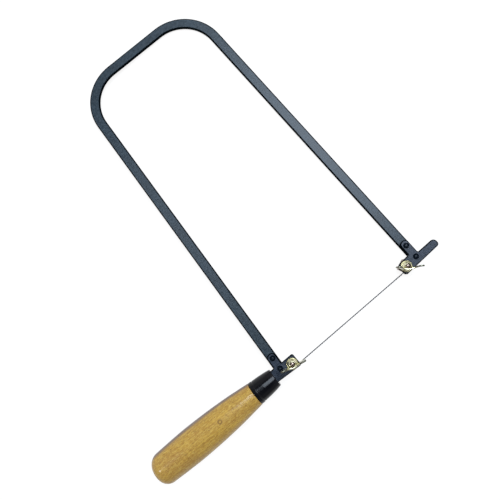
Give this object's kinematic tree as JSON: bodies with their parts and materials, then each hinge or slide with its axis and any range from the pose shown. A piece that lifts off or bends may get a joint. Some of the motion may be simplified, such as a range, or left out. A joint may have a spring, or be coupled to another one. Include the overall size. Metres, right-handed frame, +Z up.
{
  "type": "coping saw",
  "caption": "Deep-throat coping saw with a flat-bar steel bow, a turned wooden handle, and a fine blade held between wing-nut clamps.",
  "frame": {"origin": "centre of the bounding box, on the surface that the saw lies on", "axes": "+Z up, out of the face that carries the brackets; +Y from the blade towards the spine of the bow; +X along the blade, from the handle to the thumb lever. The saw is stored lying at rest on its handle, a far rivet and the far corner of the bow, so its own plane leans about 2.3 degrees from level"},
  "size_m": [0.298, 0.3148, 0.0288],
  "materials": {
    "frame_paint": "satin slate-grey hammered paint on flat steel",
    "handle_varnish": "clear gloss varnish on beech",
    "ferrule_gloss": "gloss black",
    "clamp_brass": "bright yellow plating, lightly worn",
    "blade_steel": "tempered spring steel, fine ground"
  },
  "bodies": {
    "frame": {"bow": "frame_paint", "near_bracket": "frame_paint", "far_bracket": "frame_paint", "near_rivet_1": "frame_paint", "near_rivet_2": "frame_paint", "far_rivet_1": "frame_paint", "far_rivet_2": "frame_paint", "handle": "handle_varnish", "ferrule": "ferrule_gloss", "near_clamp_bolt": "clamp_brass", "far_clamp_bolt": "clamp_brass"},
    "near_clamp": {"near_clamp_washer": "clamp_brass"},
    "near_nut": {"near_wing_nut": "clamp_brass"},
    "far_clamp": {"far_clamp_washer": "clamp_brass"},
    "far_nut": {"far_wing_nut": "clamp_brass"},
    "blade": {"blade": "blade_steel"}
  },
  "joints": [
    {"name": "near_clamp_lift", "type": "slide", "parent": "frame", "child": "near_clamp", "axis": [0.0408, 0.0036, 0.9992], "range_m": [0, 0.00175]},
    {"name": "near_nut_turn", "type": "hinge", "parent": "near_clamp", "child": "near_nut", "pos_m": [-0.00865, -0.14563, 0.01318], "axis": [0.0408, 0.0036, 0.9992], "range_deg": [0, 900]},
    {"name": "far_clamp_lift", "type": "slide", "parent": "frame", "child": "far_clamp", "axis": [0.0408, 0.0036, 0.9992], "range_m": [0, 0.00175]},
    {"name": "far_nut_turn", "type": "hinge", "parent": "far_clamp", "child": "far_nut", "pos_m": [0.11544, -0.14634, 0.00812], "axis": [0.0408, 0.0036, 0.9992], "range_deg": [0, 900]},
    {"name": "blade_release", "type": "slide", "parent": "frame", "child": "blade", "axis": [0.0001, -1, 0.0036], "range_m": [0, 0.025]}
  ],
  "couplings": [
    {"joint": "near_clamp_lift", "follows": "near_nut_turn", "m_per_rad": 0.00011141},
    {"joint": "far_clamp_lift", "follows": "far_nut_turn", "m_per_rad": 0.00011141}
  ]
}
